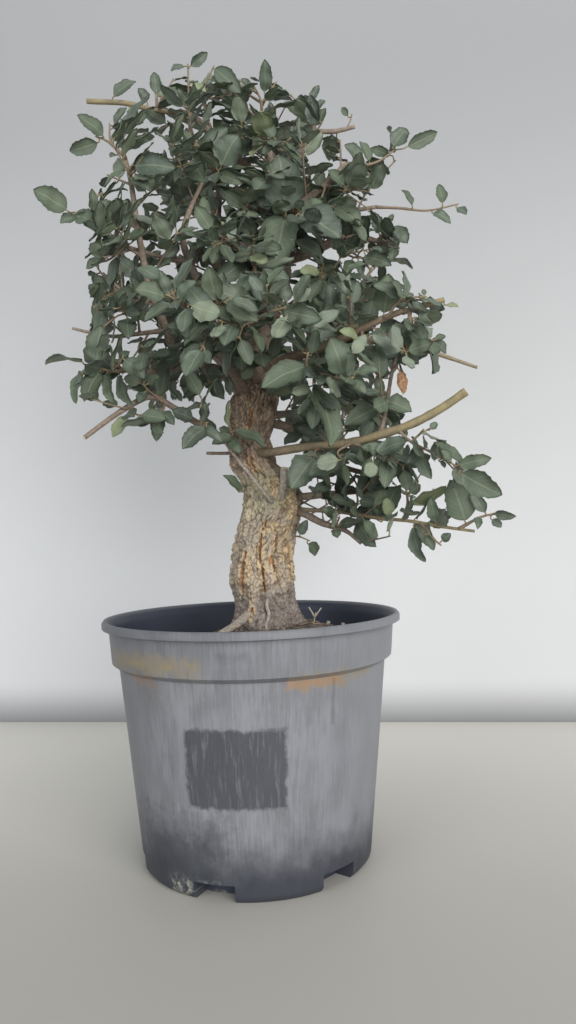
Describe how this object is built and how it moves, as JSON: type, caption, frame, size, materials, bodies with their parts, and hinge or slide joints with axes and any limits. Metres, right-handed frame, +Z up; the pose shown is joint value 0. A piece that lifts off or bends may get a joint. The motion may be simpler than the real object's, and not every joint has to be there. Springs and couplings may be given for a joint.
{
  "type": "potted bonsai tree",
  "caption": "Small cork oak grown as a bonsai: thick fissured trunk, spreading limbs and small waved leaves, standing in a round tapered nursery pot filled with soil.",
  "frame": {"origin": "centre of the pot's flat underside", "axes": "+Z up along the pot's axis; -Y is the front that the picture shows; +X is to the right in it"},
  "size_m": [0.3592, 0.332, 0.713],
  "materials": {
    "pot_plastic": "weathered",
    "soil": "rough",
    "cork_bark": "deeply fissured",
    "leaf": "matte",
    "dry_leaf": "matte"
  },
  "bodies": {
    "root": {"pot": "pot_plastic", "soil": "soil", "trunk_and_limbs": "cork_bark", "dry_leaf": "dry_leaf", "spray_top_tip": "leaf", "spray_top_left_stick": "leaf", "spray_top_hook": "leaf", "spray_top_centre": "leaf", "spray_top_right_tuft": "leaf", "spray_right_stub_leaf": "leaf", "spray_right_crown": "leaf", "spray_right_level_tip": "leaf", "spray_right_mid_tip": "leaf", "spray_right_inner": "leaf", "spray_big_leaf_right": "leaf", "spray_right_front_end": "leaf", "spray_right_bare_tuft": "leaf", "spray_right_stem_tip": "leaf", "spray_cut_branch_tuft": "leaf", "spray_front_low_leaf": "leaf", "spray_cut_branch_shoot": "leaf", "spray_cut_branch_leaf": "leaf", "spray_lower_right_branch": "leaf", "spray_right_low_tuft": "leaf", "spray_right_dark_tuft": "leaf", "spray_inner_right_tuft": "leaf", "spray_left_crown": "leaf", "spray_left_crown_leaves": "leaf", "spray_left_arm": "leaf", "spray_left_upper_side": "leaf", "spray_left_mid_tip": "leaf", "spray_left_low_twig": "leaf", "spray_left_cluster": "leaf", "spray_left_bare_leaf": "leaf", "spray_left_bare_tuft": "leaf", "spray_left_bare_front": "leaf", "spray_trunk_front_tuft": "leaf", "spray_trunk_left_tuft": "leaf", "spray_trunk_right_tuft": "leaf", "spray_front_left_tip": "leaf", "spray_front_centre_tip": "leaf", "spray_front_right_tip": "leaf", "spray_mid_front_tip": "leaf", "spray_big_front_leaf": "leaf", "spray_front_left_upper": "leaf", "spray_front_upper_mid": "leaf", "spray_front_top": "leaf", "spray_right_upper_tuft": "leaf", "spray_right_mid_front": "leaf", "spray_right_lower_front": "leaf", "spray_back_left_tip": "leaf", "spray_back_left_low": "leaf", "spray_back_left_high": "leaf", "spray_back_middle_tip": "leaf", "spray_back_centre": "leaf", "spray_back_right_tip": "leaf", "spray_back_right_low": "leaf", "spray_back_low_tip": "leaf", "spray_back_top_tip": "leaf"}
  },
  "joints": []
}
